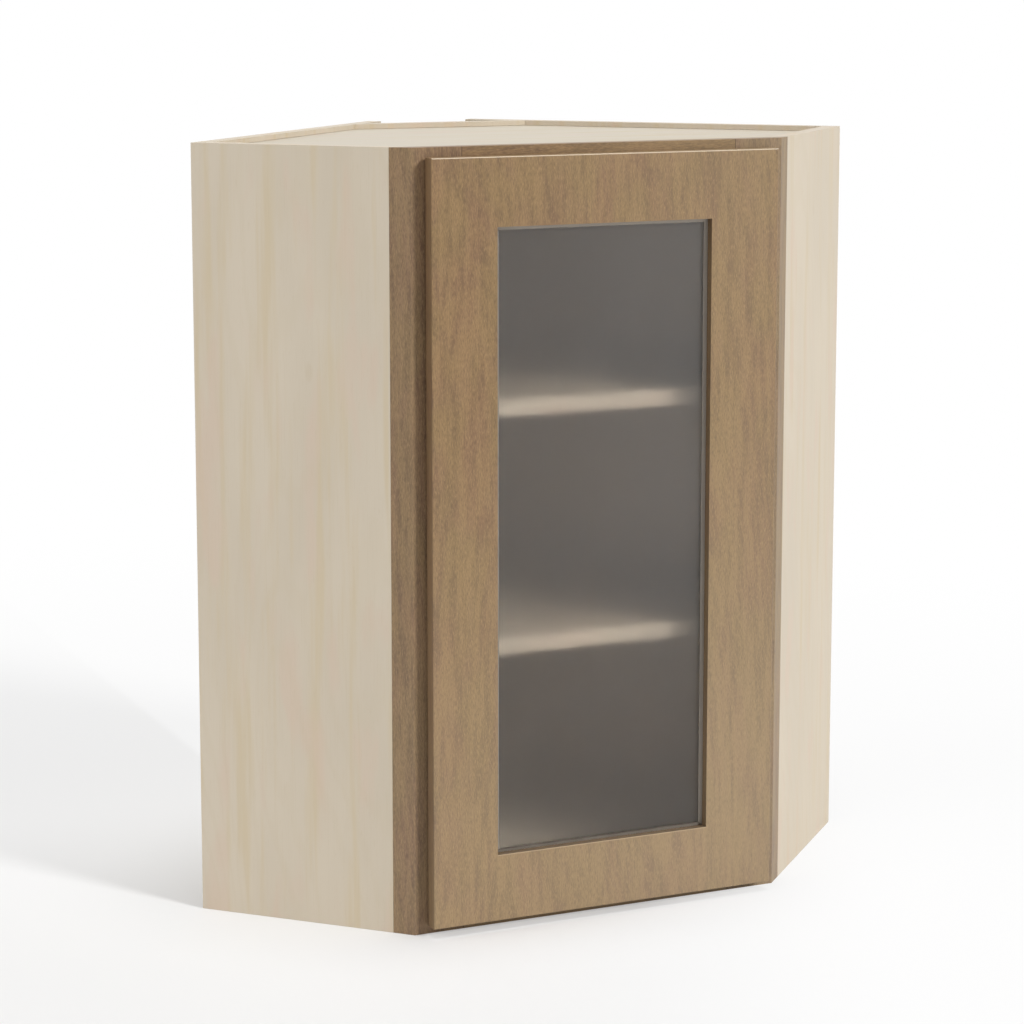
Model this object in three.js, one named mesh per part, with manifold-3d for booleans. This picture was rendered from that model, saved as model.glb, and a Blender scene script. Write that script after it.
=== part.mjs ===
// A diagonal corner wall cabinet: a five-sided plywood carcass with a clipped back corner, a bevelled
// face frame, two adjustable shelves and a frosted glass door on two concealed hinges.
// Millimetres, +Z up. The door faces -Y, and the origin is under the middle of the whole cabinet.
import * as THREE from "three";
import { mergeVertices } from "three/addons/utils/BufferGeometryUtils.js";
import Module from "manifold-3d";

const wasm = await Module();
wasm.setup();

// ---------------------------------------------------------------- driving dimensions

// Carcass
const wallRun = 609.6; // along each wall, from the room corner to the side panel's outer face
const height = 914.4;
const sideDepth = 275; // square to the wall, out to the front corner of the face frame
const sideThickness = 19;
const backThickness = 19;
const cornerThickness = 19;
const deckThickness = 19; // top and bottom panels
const backEndSetback = 104; // the back panel's square end, along the wall from the room corner
const cornerSetback = 128; // the corner panel's outer face, from the room corner
const topRecess = 6.4; // the rim stands this far above the top panel
const bottomRecess = 19; // the bottom panel lies this far above the foot of the rim
const grooveDepth = 6; // housings of the top and bottom panels
const rebateDepth = 9; // in the side panel, for the back panel's end
const fitGap = 0.3; // between pieces that meet in a housing or at an angle

// Face frame
const frameThickness = 19;
const frameStileWidth = 61.5;
const frameRailHeight = 38;
const frameTenonLength = 12;
const frameTenonThickness = 7;
const frameTenonShoulder = 6; // left above and below the tenon

// Shelves and their pegs
const shelfThickness = 19;
const lowerShelfHeight = 318; // underside of the shelf
const upperShelfHeight = 600;
const shelfSetback = 4; // behind the face frame's back
const shelfClearance = 2;
const pegShankRadius = 2.5;
const pegShankLength = 9;
const pegCollarRadius = 4;
const pegCollarThickness = 1.2;
const pegNoseRadius = 3;
const pegNoseLength = 9;
const pegHoleDepth = 11;
const pegHolePitch = 32;
const pegHolesEachWay = 2; // spare holes above and below each peg
const frontPegSetback = 35; // from the shelf's front corner
const rearPegSetback = 40; // from the back panel
const cornerPegSetback = 40; // from the corner panel

// Door
const doorThickness = 19;
const doorGap = 3; // between the door and the face frame
const doorSideReveal = 15.5; // face frame showing beside the door
const doorEndReveal = 11; // face frame showing above and below the door
const latchStileWidth = 80.5;
const hingeStileWidth = 88;
const doorRailHeight = 79.5;
const doorEase = 1.5; // rounding of the door's arrises
const doorTenonLength = 12;
const doorTenonThickness = 5;
const doorTenonShoulder = 8;

// Glass and the stops that hold it
const glassThickness = 5;
const glassEdge = 3; // thickness left at the rim of the bevel
const glassBevel = 14; // width of the bevel
const glassLap = 8.4; // of the pane behind the door frame
const glassSetback = 9.8; // the frosted field, behind the door's face
const stopWidth = 8;

// Concealed hinges
const hingeEndDistance = 100; // from the door's top or bottom edge
const cupRadius = 17.5;
const cupDepth = 11.5;
const cupWall = 2;
const cupFloor = 1;
const cupEdgeDistance = 22.5; // middle of the cup from the door's hinge edge
const wingLength = 58;
const wingWidth = 14;
const wingThickness = 1;
const wingScrewSpacing = 46;
const cupPinEdgeDistance = 13.5;
const cupPinDepth = 5.5; // below the door's back face
const basePinReach = 6; // in from the frame stile's inner edge
const hingePinRadius = 1.4;
const hingeEyeRadius = 2.6;
const hingePinClearance = 0.4;
const linkWidth = 9;
const linkThickness = 1.5;
const linkStep = 13.5; // from the cup's middle to where the link has come out of the cup
const basePlateThickness = 1.5;
const basePlateLength = 56;
const basePlateInset = 2; // in from the frame's front and back planes
const baseEarThickness = 2;
const baseScrewSpacing = 42;

// Screws and bumpers
const screwRadius = 1.75;
const screwHeadRadius = 3.5;
const screwHeadHeight = 1.4;
const cupScrewLength = 11;
const baseScrewLength = 15;
const screwClearance = 0.3;
const bumperRadius = 4;
const bumperInset = 18; // from the door's latch edge and from its ends

// Facets of the round shapes
const cupSides = 32;
const smallSides = 12;
const holeSides = 8;

// ---------------------------------------------------------------- derived places, in plan

const slant = Math.SQRT1_2; // sine and cosine of 45 degrees
const frontHalf = (wallRun - sideDepth) * slant; // half the face frame's front
const roomCornerY = (wallRun + sideDepth) * slant; // from the face frame's front plane
const doorBackY = -doorGap;
const doorFrontY = -doorGap - doorThickness;
const backEndY = roomCornerY - backEndSetback * slant;
const middleY = (doorFrontY + backEndY) / 2;
const carcassFrontY = frameThickness + fitGap;
const cornerOuterY = roomCornerY - cornerSetback;
const cornerInnerY = cornerOuterY - cornerThickness;
const topPanelZ = height - topRecess - deckThickness;
const frameOpeningHalf = frontHalf - frameStileWidth;

// A point of the left half: u along the left wall from the room corner, v square out from it.
const fromWall = (u, v) => [(v - u) * slant, roomCornerY - (u + v) * slant];

// How far out from the wall the line of constant u meets the plane of constant y.
const reachTo = (u, y) => (roomCornerY - y) / slant - u;

const mirrored = (points) => points.map(([x, y]) => [-x, y]).reverse();

// The six-sided outline of a board that lies inside the carcass.
function insideOutline(u, v, frontY, cornerY) {
  const left = [
    fromWall(reachTo(v, cornerY), v),
    fromWall(u, v),
    fromWall(u, reachTo(u, frontY)),
  ];
  return [...left, ...mirrored(left)];
}

// ---------------------------------------------------------------- solids

function solidOf(geometry) {
  const bare = geometry.index ? geometry.toNonIndexed() : geometry.clone();
  bare.deleteAttribute("normal");
  bare.deleteAttribute("uv");
  const merged = mergeVertices(bare, 1e-4);
  const vertProperties = merged.attributes.position.array;
  const triVerts = new Uint32Array(merged.index.array);
  return new wasm.Manifold(new wasm.Mesh({ numProp: 3, vertProperties, triVerts }));
}

function geometryOf(solid) {
  const { vertProperties, triVerts } = solid.getMesh();
  const geometry = new THREE.BufferGeometry();
  geometry.setAttribute("position", new THREE.BufferAttribute(vertProperties, 3));
  geometry.setIndex(new THREE.BufferAttribute(triVerts, 1));
  geometry.computeVertexNormals();
  return geometry;
}

const outlineShape = (points) => new THREE.Shape(points.map(([x, y]) => new THREE.Vector2(x, y)));

// An upright prism on an outline in plan.
function prism(points, bottom, top) {
  const options = { depth: top - bottom, bevelEnabled: false };
  return solidOf(new THREE.ExtrudeGeometry(outlineShape(points), options).translate(0, 0, bottom));
}

// A block between two corners.
function block([x0, y0, z0], [x1, y1, z1]) {
  const box = new THREE.BoxGeometry(x1 - x0, y1 - y0, z1 - z0);
  return solidOf(box.translate((x0 + x1) / 2, (y0 + y1) / 2, (z0 + z1) / 2));
}

// A round bar that starts at a point and runs along a direction.
function bar(start, direction, length, radius, sides) {
  const geometry = new THREE.CylinderGeometry(radius, radius, length, sides);
  geometry.translate(0, length / 2, 0);
  geometry.applyQuaternion(turnTo(direction));
  return solidOf(geometry.translate(...start));
}

// The turn that takes a turned piece's own +Y axis to a direction.
function turnTo([x, y, z]) {
  const aim = new THREE.Vector3(x, y, z).normalize();
  return new THREE.Quaternion().setFromUnitVectors(new THREE.Vector3(0, 1, 0), aim);
}

// A blind hole; its cutter starts 1 mm outside the surface.
function drilled(solid, start, direction, depth, radius, sides) {
  const aim = new THREE.Vector3(...direction).normalize();
  const outside = new THREE.Vector3(...start).addScaledVector(aim, -1).toArray();
  return solid.subtract(bar(outside, direction, depth + 1, radius, sides));
}

function turned(profile, sides) {
  const points = profile.map(([r, y]) => new THREE.Vector2(r, y));
  return new THREE.LatheGeometry(points, sides);
}

// ---------------------------------------------------------------- finishes

const finish = (color, roughness, metalness) =>
  new THREE.MeshStandardMaterial({ color, roughness, metalness });
const maple = finish(0xdccfb4, 0.55, 0);
const stainedBirch = finish(0x967b5c, 0.5, 0);
const frostedGlass = finish(0x8d8782, 0.4, 0);
const nickel = finish(0xb9b6b0, 0.3, 1);
const clearRubber = finish(0xd8d6d0, 0.5, 0);

function piece(name, shape, material) {
  const geometry = shape.isBufferGeometry ? shape : geometryOf(shape);
  const mesh = new THREE.Mesh(geometry, material.clone());
  mesh.name = name;
  return mesh;
}

// A turned piece, stood on a surface point with its axis along a direction.
function turnedPiece(name, geometry, material, point, direction) {
  const mesh = piece(name, geometry, material);
  mesh.position.set(...point);
  mesh.quaternion.copy(turnTo(direction));
  return mesh;
}

function group(...children) {
  const made = new THREE.Group();
  made.add(...children.flat());
  return made;
}

// ---------------------------------------------------------------- carcass

const sideInnerU = wallRun - sideThickness;
const deckLevels = [bottomRecess, topPanelZ];

// The housings that the top and bottom panels leave in the boards round them.
function deckHousings() {
  const pocket = insideOutline(
    sideInnerU + grooveDepth,
    backThickness - grooveDepth,
    frameThickness - 1,
    cornerInnerY + grooveDepth,
  );
  return deckLevels.map((z) => prism(pocket, z - fitGap, z + deckThickness + fitGap));
}

const housings = deckHousings();
const withHousings = (solid) => housings.reduce((left, housing) => left.subtract(housing), solid);

// Where the shelf pegs stand: a surface point in (u, v), and the way the peg points.
const shelfFrontY = frameThickness + shelfSetback;
const cornerJointU = reachTo(backThickness, cornerInnerY);
const pegSpots = {
  front: { u: sideInnerU, v: reachTo(sideInnerU, shelfFrontY) - frontPegSetback, aim: [1, 1] },
  rear: { u: sideInnerU, v: backThickness + rearPegSetback, aim: [1, 1] },
  corner: { u: cornerJointU + cornerPegSetback, v: backThickness, aim: [1, -1] },
};
const shelfHeights = { lower: lowerShelfHeight, upper: upperShelfHeight };
const pegAxisHeight = (shelfHeight) => shelfHeight - fitGap - pegNoseRadius;

function withPegHoles(solid, spots, side) {
  for (const { u, v, aim } of spots) {
    const [x, y] = fromWall(u, v);
    const inward = [-aim[0] * side, -aim[1], 0];
    for (const shelfHeight of Object.values(shelfHeights)) {
      for (let step = -pegHolesEachWay; step <= pegHolesEachWay; step++) {
        const start = [x * side, y, pegAxisHeight(shelfHeight) + step * pegHolePitch];
        const radius = pegShankRadius + fitGap;
        solid = drilled(solid, start, inward, pegHoleDepth, radius, holeSides);
      }
    }
  }
  return solid;
}

const onSide = (points, side) => (side > 0 ? points : mirrored(points));

function sidePanel(side) {
  const rebateFaceU = sideInnerU + rebateDepth;
  const outline = [
    fromWall(wallRun, 0),
    fromWall(wallRun, reachTo(wallRun, carcassFrontY)),
    fromWall(sideInnerU, reachTo(sideInnerU, carcassFrontY)),
    fromWall(sideInnerU, backThickness + fitGap),
    fromWall(rebateFaceU, backThickness + fitGap),
    fromWall(rebateFaceU, 0),
  ];
  const board = prism(onSide(outline, side), 0, height);
  return withPegHoles(withHousings(board), [pegSpots.front, pegSpots.rear], side);
}

function backPanel(side) {
  const endU = sideInnerU + rebateDepth - fitGap;
  const outline = [
    fromWall(backEndSetback, 0),
    fromWall(endU, 0),
    fromWall(endU, backThickness),
    fromWall(backEndSetback, backThickness),
  ];
  const board = prism(onSide(outline, side), 0, height);
  return withPegHoles(withHousings(board), [pegSpots.corner], side);
}

function cornerPanel() {
  const seat = backThickness + fitGap;
  const left = [
    fromWall(reachTo(seat, cornerOuterY), seat),
    fromWall(reachTo(seat, cornerInnerY), seat),
  ];
  return withHousings(prism([...left, ...mirrored(left)], 0, height));
}

function deckPanel(z) {
  const outline = insideOutline(
    sideInnerU + grooveDepth - fitGap,
    backThickness - grooveDepth + fitGap,
    carcassFrontY,
    cornerInnerY + grooveDepth - fitGap,
  );
  return prism(outline, z, z + deckThickness);
}

function carcass() {
  return group(
    piece("left_side_panel", sidePanel(1), maple),
    piece("right_side_panel", sidePanel(-1), maple),
    piece("left_back_panel", backPanel(1), maple),
    piece("right_back_panel", backPanel(-1), maple),
    piece("corner_back_panel", cornerPanel(), maple),
    piece("bottom_panel", deckPanel(bottomRecess), maple),
    piece("top_panel", deckPanel(topPanelZ), maple),
  );
}

// ---------------------------------------------------------------- shelves

function shelf(z) {
  const outline = insideOutline(
    sideInnerU - shelfClearance,
    backThickness + shelfClearance,
    shelfFrontY,
    cornerInnerY - shelfClearance,
  );
  return prism(outline, z, z + shelfThickness);
}

function pegGeometry() {
  const noseStart = fitGap + pegCollarThickness;
  return turned(
    [
      [0, -pegShankLength],
      [pegShankRadius, -pegShankLength],
      [pegShankRadius, fitGap],
      [pegCollarRadius, fitGap],
      [pegCollarRadius, noseStart],
      [pegNoseRadius, noseStart],
      [pegNoseRadius, noseStart + pegNoseLength],
      [0, noseStart + pegNoseLength],
    ],
    smallSides,
  );
}

function shelfPegs(level, shelfHeight) {
  const pegs = [];
  for (const [sideName, side] of [["left", 1], ["right", -1]]) {
    for (const [spotName, { u, v, aim }] of Object.entries(pegSpots)) {
      const [x, y] = fromWall(u, v);
      const name = `${level}_shelf_peg_${sideName}_${spotName}`;
      const point = [x * side, y, pegAxisHeight(shelfHeight)];
      pegs.push(turnedPiece(name, pegGeometry(), nickel, point, [aim[0] * side, aim[1], 0]));
    }
  }
  return pegs;
}

function shelves() {
  return group(
    Object.entries(shelfHeights).map(([level, z]) =>
      group(piece(`${level}_shelf`, shelf(z), maple), shelfPegs(level, z)),
    ),
  );
}

// ---------------------------------------------------------------- hinge places

const doorHalf = frontHalf - doorSideReveal;
const doorBottom = doorEndReveal;
const doorTop = height - doorEndReveal;
const cupX = doorHalf - cupEdgeDistance;
const cupPin = [doorHalf - cupPinEdgeDistance, doorBackY - cupPinDepth];
const basePin = [frameOpeningHalf - basePinReach, 0];
const basePlateX = frameOpeningHalf - basePlateThickness;
const hingeLevels = { lower: doorBottom + hingeEndDistance, upper: doorTop - hingeEndDistance };
const wingScrewSpots = [-wingScrewSpacing / 2, wingScrewSpacing / 2];
const baseScrewSpots = [-baseScrewSpacing / 2, baseScrewSpacing / 2];
const screwHoleRadius = screwRadius + screwClearance;

// ---------------------------------------------------------------- face frame

const frameTenonY = (frameThickness - frameTenonThickness) / 2;

function frameTenon(side, railBottom, grow) {
  const x0 = side * frameOpeningHalf;
  const x1 = side * (frameOpeningHalf + frameTenonLength + grow);
  const low = railBottom + frameTenonShoulder - grow;
  const high = railBottom + frameRailHeight - frameTenonShoulder + grow;
  return block(
    [Math.min(x0, x1) - grow, frameTenonY - grow, low],
    [Math.max(x0, x1) + grow, frameTenonY + frameTenonThickness + grow, high],
  );
}

const frameRailLevels = [0, height - frameRailHeight];

function frameStile(side) {
  const outline = [
    [-frontHalf, 0],
    [-frontHalf - frameThickness, frameThickness],
    [-frameOpeningHalf, frameThickness],
    [-frameOpeningHalf, 0],
  ];
  let stile = prism(onSide(outline, -side), 0, height);
  for (const z of frameRailLevels) stile = stile.subtract(frameTenon(side, z, fitGap));
  return stile;
}

function hingeStile() {
  let stile = frameStile(1);
  for (const level of Object.values(hingeLevels)) {
    for (const dz of baseScrewSpots) {
      const start = [frameOpeningHalf, frameThickness / 2, level + dz];
      const depth = baseScrewLength - basePlateThickness + 1;
      stile = drilled(stile, start, [1, 0, 0], depth, screwHoleRadius, smallSides);
    }
  }
  return stile;
}

function frameRail(bottom) {
  const body = block(
    [-frameOpeningHalf, 0, bottom],
    [frameOpeningHalf, frameThickness, bottom + frameRailHeight],
  );
  return body.add(frameTenon(-1, bottom, 0)).add(frameTenon(1, bottom, 0));
}

function faceFrame() {
  return group(
    piece("frame_left_stile", frameStile(-1), stainedBirch),
    piece("frame_right_stile", hingeStile(), stainedBirch),
    piece("frame_bottom_rail", frameRail(frameRailLevels[0]), stainedBirch),
    piece("frame_top_rail", frameRail(frameRailLevels[1]), stainedBirch),
  );
}

// ---------------------------------------------------------------- door

const sightLeft = -doorHalf + latchStileWidth;
const sightRight = doorHalf - hingeStileWidth;
const sightBottom = doorBottom + doorRailHeight;
const sightTop = doorTop - doorRailHeight;
const bevelDropAtSight = ((glassThickness - glassEdge) * (glassBevel - glassLap)) / glassBevel;
const glassFrontY = doorFrontY + glassSetback;
const shoulderY = glassFrontY + bevelDropAtSight - fitGap;
const glassBackY = glassFrontY + glassThickness;
const rebateWidth = glassLap + fitGap;
const doorTenonY = (doorFrontY + shoulderY - doorTenonThickness) / 2;

// The whole door as one board with rounded arrises, before it is parted into its members.
function doorBlank() {
  const wide = doorHalf;
  const shape = outlineShape([
    [-wide, doorBottom],
    [wide, doorBottom],
    [wide, doorTop],
    [-wide, doorTop],
  ]);
  const geometry = new THREE.ExtrudeGeometry(shape, {
    depth: doorThickness - 2 * doorEase,
    bevelThickness: doorEase,
    bevelSize: doorEase,
    bevelOffset: -doorEase,
    bevelSegments: 3,
  });
  geometry.rotateX(Math.PI / 2);
  return solidOf(geometry.translate(0, doorBackY - doorEase, 0));
}

const blank = doorBlank();
const sightHole = block(
  [sightLeft, doorFrontY - 1, sightBottom],
  [sightRight, doorBackY + 1, sightTop],
);
const glassRebate = block(
  [sightLeft - rebateWidth, shoulderY, sightBottom - rebateWidth],
  [sightRight + rebateWidth, doorBackY + 1, sightTop + rebateWidth],
);

function doorMember(low, high) {
  const cutter = block([low[0], doorFrontY - 1, low[1]], [high[0], doorBackY + 1, high[1]]);
  return blank.intersect(cutter).subtract(sightHole).subtract(glassRebate);
}

// A rail's tenon past one of its shoulders, or with grow its mortise.
function doorTenon(shoulderX, side, railBottom, grow) {
  const tip = shoulderX + side * (doorTenonLength + grow);
  const root = shoulderX - side * grow;
  const low = railBottom + doorTenonShoulder - grow;
  const high = railBottom + doorRailHeight - doorTenonShoulder + grow;
  return block(
    [Math.min(root, tip), doorTenonY - grow, low],
    [Math.max(root, tip), doorTenonY + doorTenonThickness + grow, high],
  );
}

const doorRailLevels = [doorBottom, doorTop - doorRailHeight];

function doorStile(side) {
  const inner = side < 0 ? sightLeft : sightRight;
  const outer = side * (doorHalf + 1);
  const low = [Math.min(inner, outer), doorBottom - 1];
  const high = [Math.max(inner, outer), doorTop + 1];
  let stile = doorMember(low, high);
  for (const z of doorRailLevels) stile = stile.subtract(doorTenon(inner, side, z, fitGap));
  return stile;
}

function hingeDoorStile() {
  let stile = doorStile(1);
  for (const level of Object.values(hingeLevels)) {
    const depth = cupDepth + fitGap;
    const into = [0, -1, 0];
    stile = drilled(stile, [cupX, doorBackY, level], into, depth, cupRadius + fitGap, cupSides);
    for (const dz of wingScrewSpots) {
      const start = [cupX, doorBackY, level + dz];
      stile = drilled(stile, start, into, cupScrewLength, screwHoleRadius, smallSides);
    }
  }
  return stile;
}

function doorRail(bottom) {
  const rail = doorMember([sightLeft, bottom], [sightRight, bottom + doorRailHeight]);
  const leftTenon = doorTenon(sightLeft, -1, bottom, 0);
  return rail.add(leftTenon).add(doorTenon(sightRight, 1, bottom, 0));
}

// The pane: a flat back, and a front whose bevel rises from a thin rim to the frosted field.
function glassPane() {
  const left = sightLeft - glassLap;
  const right = sightRight + glassLap;
  const bottom = sightBottom - glassLap;
  const top = sightTop + glassLap;
  const rimY = glassBackY - glassEdge;
  const ring = (inset, y) => [
    [left + inset, y, bottom + inset],
    [right - inset, y, bottom + inset],
    [right - inset, y, top - inset],
    [left + inset, y, top - inset],
  ];
  const rings = [ring(0, glassBackY), ring(0, rimY), ring(glassBevel, glassFrontY)];
  const faces = [0, 1].flatMap((level) =>
    [0, 1, 2, 3].flatMap((i) => {
      const [a, b] = [level * 4 + i, level * 4 + ((i + 1) % 4)];
      return [a, b, a + 4, b, b + 4, a + 4];
    }),
  );
  const caps = [0, 2, 1, 0, 3, 2, 8, 9, 10, 8, 10, 11];
  const geometry = new THREE.BufferGeometry();
  const positions = new Float32Array(rings.flat(2));
  geometry.setAttribute("position", new THREE.BufferAttribute(positions, 3));
  geometry.setIndex([...faces, ...caps]);
  return solidOf(geometry);
}

// Four strips that lie in the rebate behind the pane, the upright ones running full height.
function glassStops() {
  const [near, far] = [glassBackY + fitGap, doorBackY];
  const [left, right] = [sightLeft - glassLap, sightRight + glassLap];
  const [bottom, top] = [sightBottom - glassLap, sightTop + glassLap];
  const [innerLeft, innerRight] = [left + stopWidth + fitGap, right - stopWidth - fitGap];
  return [
    piece("glass_stop_left", block([left, near, bottom], [left + stopWidth, far, top]), stainedBirch),
    piece("glass_stop_right", block([right - stopWidth, near, bottom], [right, far, top]), stainedBirch),
    piece(
      "glass_stop_bottom",
      block([innerLeft, near, bottom], [innerRight, far, bottom + stopWidth]),
      stainedBirch,
    ),
    piece("glass_stop_top", block([innerLeft, near, top - stopWidth], [innerRight, far, top]), stainedBirch),
  ];
}

function bumpers() {
  const thickness = doorGap - fitGap;
  const geometry = () =>
    turned([[0, 0], [bumperRadius, 0], [bumperRadius * 0.85, thickness], [0, thickness]], smallSides);
  const spots = { lower: doorBottom + bumperInset, upper: doorTop - bumperInset };
  return Object.entries(spots).map(([level, z]) => {
    const point = [-doorHalf + bumperInset, doorBackY, z];
    return turnedPiece(`${level}_door_bumper`, geometry(), clearRubber, point, [0, 1, 0]);
  });
}

function door() {
  return group(
    piece("door_latch_stile", doorStile(-1), stainedBirch),
    piece("door_hinge_stile", hingeDoorStile(), stainedBirch),
    piece("door_bottom_rail", doorRail(doorRailLevels[0]), stainedBirch),
    piece("door_top_rail", doorRail(doorRailLevels[1]), stainedBirch),
    piece("glass_pane", glassPane(), frostedGlass),
    glassStops(),
    bumpers(),
  );
}

// ---------------------------------------------------------------- hinges

function screwGeometry(length) {
  const r = screwHeadRadius;
  return turned(
    [
      [0, -length],
      [screwRadius * 0.4, -length + screwRadius],
      [screwRadius, -length + 2 * screwRadius],
      [screwRadius, 0],
      [r, 0],
      [r, screwHeadHeight * 0.3],
      [r * 0.75, screwHeadHeight * 0.8],
      [0, screwHeadHeight],
    ],
    smallSides,
  );
}

// The cup in its own frame: +Y out of the door's back, the mouth at y = 0.
function hingeCup() {
  const up = [0, 1, 0];
  const bowl = bar([0, -cupDepth, 0], up, cupDepth, cupRadius, cupSides);
  const reach = wingLength / 2 - wingWidth / 2;
  const wings = block([-wingWidth / 2, 0, -reach], [wingWidth / 2, wingThickness, reach]);
  const roundEnds = [-reach, reach].map((z) => bar([0, 0, z], up, wingThickness, wingWidth / 2, cupSides));
  const hollow = bar([0, cupFloor - cupDepth, 0], up, cupDepth + 1, cupRadius - cupWall, cupSides);
  let cup = roundEnds.reduce((made, end) => made.add(end), bowl.add(wings)).subtract(hollow);
  const pinX = cupPin[0] - cupX;
  const pinHalf = Math.sqrt((cupRadius - cupWall / 2) ** 2 - pinX ** 2);
  cup = cup.add(bar([pinX, -cupPinDepth, -pinHalf], [0, 0, 1], 2 * pinHalf, hingePinRadius, smallSides));
  for (const dz of wingScrewSpots) {
    cup = drilled(cup, [0, wingThickness, dz], [0, -1, 0], 2 * wingThickness, screwHoleRadius, smallSides);
  }
  return cup;
}

// An upright eye round a pin, as a bar and its hole.
const upright = (x, y, half, radius) => bar([x, y, -half], [0, 0, 1], 2 * half, radius, smallSides);

// The link, cranked so that it runs through the gap between door and frame and down into the cup.
function hingeLink() {
  const t = linkThickness / 2;
  const gapY = doorBackY / 2;
  const outX = cupX - linkStep;
  const cupY = cupPin[1];
  const stepRun = (gapY - cupY) / 2;
  const middle = [
    [basePin[0], basePin[1]],
    [basePin[0] + hingeEyeRadius + 1, gapY],
    [outX, gapY],
    [outX + stepRun, cupY],
    [cupPin[0], cupY],
  ];
  const strips = middle.slice(1).map((end, i) => strip(middle[i], end, t, linkWidth / 2));
  let link = strips.reduce((made, next) => made.add(next));
  for (const [x, y] of [basePin, cupPin]) {
    link = link.add(upright(x, y, linkWidth / 2, hingeEyeRadius));
  }
  for (const [x, y] of [basePin, cupPin]) {
    link = link.subtract(upright(x, y, linkWidth / 2 + 1, hingePinRadius + hingePinClearance));
  }
  return link;
}

// A flat strip on edge between two points of the plan, with its corners rounded over the bends.
function strip([x0, y0], [x1, y1], halfThickness, halfWidth) {
  const along = Math.hypot(x1 - x0, y1 - y0);
  const [dx, dy] = [((x1 - x0) / along) * halfThickness, ((y1 - y0) / along) * halfThickness];
  const outline = [
    [x0 - dy, y0 + dx],
    [x0 + dy, y0 - dx],
    [x1 + dy, y1 - dx],
    [x1 - dy, y1 + dx],
  ];
  const bend = upright(x1, y1, halfWidth, halfThickness);
  return prism(outline, -halfWidth, halfWidth).add(bend);
}

// The base: a plate on the frame stile's inner edge, with two ears and the pin between them.
function hingeBase() {
  const plate = block(
    [basePlateX, basePlateInset, -basePlateLength / 2],
    [frameOpeningHalf, frameThickness - basePlateInset, basePlateLength / 2],
  );
  const [x, y] = basePin;
  const rootX = basePlateX + basePlateThickness / 2;
  const inner = linkWidth / 2 + hingePinClearance;
  const outer = inner + baseEarThickness;
  const ear = new THREE.Shape();
  ear.moveTo(rootX, frameThickness / 2);
  ear.lineTo(x - hingeEyeRadius, y);
  ear.absarc(x, y, hingeEyeRadius, Math.PI, 2 * Math.PI, false);
  ear.lineTo(rootX, basePlateInset);
  const options = { depth: baseEarThickness, bevelEnabled: false, curveSegments: 6 };
  let base = plate;
  for (const low of [-outer, inner]) {
    base = base.add(solidOf(new THREE.ExtrudeGeometry(ear, options).translate(0, 0, low)));
  }
  base = base.add(upright(x, y, outer, hingePinRadius));
  for (const dz of baseScrewSpots) {
    const start = [basePlateX, frameThickness / 2, dz];
    base = drilled(base, start, [1, 0, 0], 2 * basePlateThickness, screwHoleRadius, smallSides);
  }
  return base;
}

function hinge(level, z) {
  const name = (part) => `${level}_hinge_${part}`;
  const cup = piece(name("cup"), hingeCup(), nickel);
  cup.position.set(cupX, doorBackY, z);
  const link = piece(name("link"), hingeLink(), nickel);
  link.position.z = z;
  const base = piece(name("base"), hingeBase(), nickel);
  base.position.z = z;
  const screws = [0, 1].flatMap((i) => {
    const cupScrew = [cupX, doorBackY + wingThickness, z + wingScrewSpots[i]];
    const baseScrew = [basePlateX, frameThickness / 2, z + baseScrewSpots[i]];
    const end = ["bottom", "top"][i];
    return [
      turnedPiece(name(`cup_screw_${end}`), screwGeometry(cupScrewLength), nickel, cupScrew, [0, 1, 0]),
      turnedPiece(name(`base_screw_${end}`), screwGeometry(baseScrewLength), nickel, baseScrew, [-1, 0, 0]),
    ];
  });
  return group(cup, link, base, screws);
}

// ---------------------------------------------------------------- cabinet

const hinges = Object.entries(hingeLevels).map(([level, z]) => hinge(level, z));
const cabinet = group(carcass(), faceFrame(), shelves(), door(), hinges);
cabinet.position.y = -middleY;

export default group(cabinet);
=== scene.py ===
"""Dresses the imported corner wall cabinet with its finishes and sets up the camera, the light and the floor.

Metres, in the frame's own axes: X to the right, Y to the back, Z up. The door faces -Y.
Tones are written as they are seen on screen, red, green and blue from 0 to 255.
"""

import math

import bmesh
import bpy
from mathutils import Matrix, Vector


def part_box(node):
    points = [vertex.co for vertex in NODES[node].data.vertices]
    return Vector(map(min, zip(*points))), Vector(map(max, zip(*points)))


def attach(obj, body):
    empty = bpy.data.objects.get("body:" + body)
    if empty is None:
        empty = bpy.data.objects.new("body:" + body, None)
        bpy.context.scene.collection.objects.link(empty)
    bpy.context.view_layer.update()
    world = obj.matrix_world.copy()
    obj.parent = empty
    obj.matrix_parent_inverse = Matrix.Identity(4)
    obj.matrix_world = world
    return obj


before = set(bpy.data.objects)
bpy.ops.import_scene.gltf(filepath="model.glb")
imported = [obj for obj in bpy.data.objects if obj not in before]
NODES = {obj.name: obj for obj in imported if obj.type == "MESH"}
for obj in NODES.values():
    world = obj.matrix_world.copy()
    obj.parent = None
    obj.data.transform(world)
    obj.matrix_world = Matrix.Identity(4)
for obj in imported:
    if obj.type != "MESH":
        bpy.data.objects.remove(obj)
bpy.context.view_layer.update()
SLOT_OF = {name: piece.material_slots[0].material.name for name, piece in NODES.items()}


# ---------------------------------------------------------------- camera

LENS = 101.006  # mm, on a 36 mm film
LENS_DROP = -0.12  # keeps the uprights nearly parallel
CAMERA_TURN = -24.102  # degrees to the left of straight in front
CAMERA_PITCH = 8.336
CAMERA_PLACE = (-1.446, -3.245, 1.113)


def direction(turn, pitch):
    """The unit vector from the cabinet towards something seen at that turn and pitch."""
    a, e = math.radians(turn), math.radians(pitch)
    return Vector((math.sin(a) * math.cos(e), -math.cos(a) * math.cos(e), math.sin(e)))


def linked(name, data):
    made = bpy.data.objects.new(name, data)
    bpy.context.scene.collection.objects.link(made)
    return made


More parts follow.
